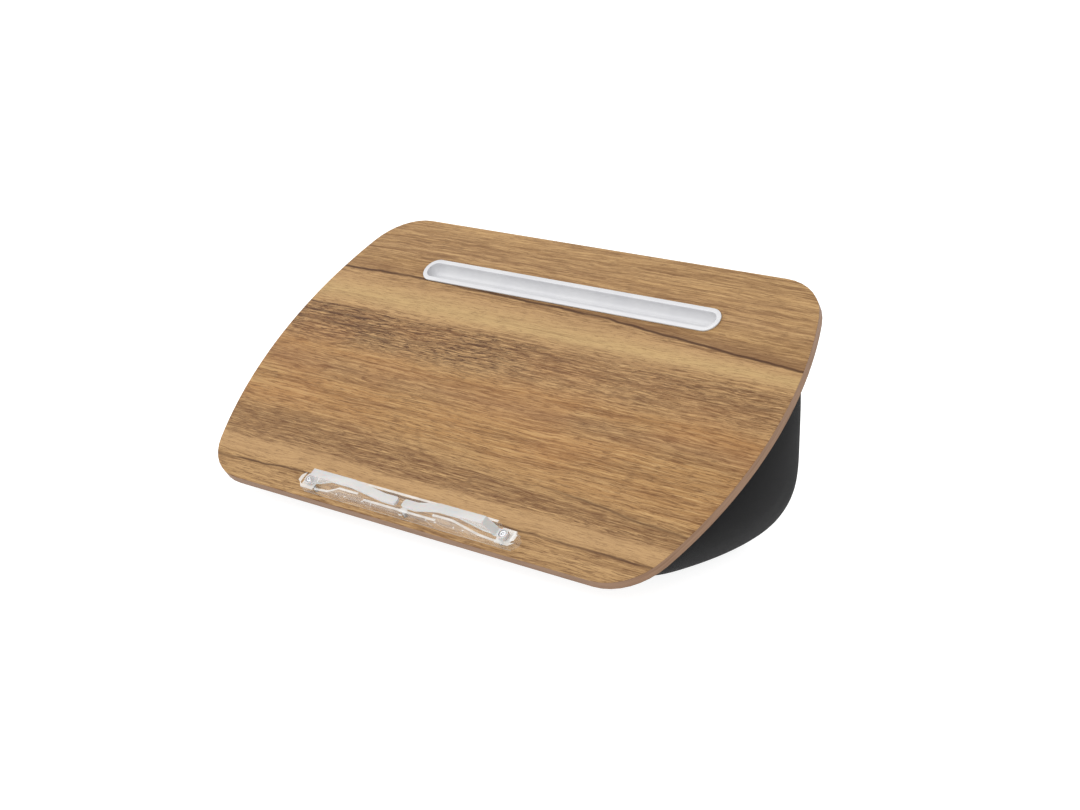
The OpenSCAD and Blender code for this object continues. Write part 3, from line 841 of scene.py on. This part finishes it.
def stitches(name, points, gap=0.8 * MM, radius=0.28 * MM, outward=Vector((0, 1, 0))):
    """Short rounded stitches along a line of points."""
    bm = bmesh.new()
    for a, b in zip(points, points[1:]):
        run = (b - a).normalized()
        start, end = a + run * gap / 2, b - run * gap / 2
        side = run.cross(outward).normalized()
        rings = []
        for share, size, lift in ((0, 0.5, -0.3), (0.2, 0.9, 0.3), (0.5, 1, 0.5), (0.8, 0.9, 0.3),
                                  (1, 0.5, -0.3)):
            middle = start.lerp(end, share) + outward * radius * lift
            rings.append([bm.verts.new(middle + radius * size * (side * math.cos(k * math.pi / 3)
                                                                 + outward
                                                                 * math.sin(k * math.pi / 3)))
                          for k in range(6)])
        for r0, r1 in zip(rings, rings[1:]):
            for k in range(6):
                bm.faces.new([r0[k], r0[(k + 1) % 6], r1[(k + 1) % 6], r1[k]])
        bm.faces.new(rings[0][::-1])
        bm.faces.new(rings[-1])
    bmesh.ops.recalc_face_normals(bm, faces=bm.faces)
    obj = object_from(bm, name)
    smooth(obj, 60)
    return finish_piece(obj, "thread", "base")


zip_chain()
zip_tape()
for name, z in (("zip_stitches_low", tape_low.z + STITCH_INSET),
                ("zip_stitches_high", tape_high.z - STITCH_INSET)):
    count = int((tape_high.x - tape_low.x - 2 * STITCH_INSET) / STITCH)
    stitches(name, [Vector((tape_low.x + STITCH_INSET + i * STITCH, tape_high.y - 0.1 * MM, z))
                    for i in range(count + 1)])

# ---------- stage, light and camera ----------

FLOOR_HALF = 12
FLOOR_DROP = 0.3 * MM
# The floor's own light keeps it nearly white and leaves a faint shadow
FLOOR_GLOW = 0.88
WORLD_STRENGTH = 1.05
LIGHT_AIM = Vector((0, 0, 0.08))

scene = bpy.context.scene
bm = bmesh.new()
bmesh.ops.create_grid(bm, x_segments=1, y_segments=1, size=FLOOR_HALF)
bmesh.ops.translate(bm, verts=bm.verts, vec=(0, 0, -FLOOR_DROP))
floor = object_from(bm, "floor")
floor_shader = Shader("pale_floor", Roughness=0.9)
soft = floor_shader.noise(floor_shader.object, detail=3, scale=3)
floor_shader.set("Base Color", floor_shader.mix(soft, srgb(160, 160, 160, share=1),
                                                 srgb(156, 156, 156, share=1)))
floor_shader.set("Emission Color", (1, 1, 1, 1))
floor_shader.set("Emission Strength", FLOOR_GLOW)
floor.data.materials.append(floor_shader.material)

world = bpy.data.worlds.new("studio")
world.use_nodes = True
world.node_tree.nodes["Background"].inputs["Color"].default_value = (1, 1, 1, 1)
world.node_tree.nodes["Background"].inputs["Strength"].default_value = WORLD_STRENGTH
scene.world = world
scene.view_settings.view_transform = "Standard"

# Name, place, size in metres and power in watts
SOFTBOXES = (
    ("key", (-0.9, -1.0, 1.9), 1.8, 26),
    ("fill", (0.9, -1.7, 0.9), 1.6, 12),
    ("back", (0.6, 1.8, 1.4), 1.6, 10),
)
for name, place, size, power in SOFTBOXES:
    light = bpy.data.lights.new(name, "AREA")
    light.shape = "SQUARE"
    light.size = size
    light.energy = power
    lamp = bpy.data.objects.new(name, light)
    lamp.location = place
    aim = LIGHT_AIM - Vector(place)
    lamp.rotation_euler = aim.to_track_quat("-Z", "Y").to_euler()
    scene.collection.objects.link(lamp)

# The camera: its lens, its place from the board's middle, its pitch and its turn
LENS_MM = 70.144
CAMERA_FROM_BOARD = Vector((0.98139, -1.09091, 0.38434))
CAMERA_PITCH, CAMERA_TURN = math.radians(74.67), math.radians(40.91)
camera_data = bpy.data.cameras.new("camera")
camera_data.lens = LENS_MM
camera_data.sensor_width = 36
camera = bpy.data.objects.new("camera", camera_data)
camera.location = BOARD_MIDDLE + CAMERA_FROM_BOARD
camera.rotation_euler = (CAMERA_PITCH, 0, CAMERA_TURN)
scene.collection.objects.link(camera)
scene.camera = camera

bpy.context.view_layer.update()
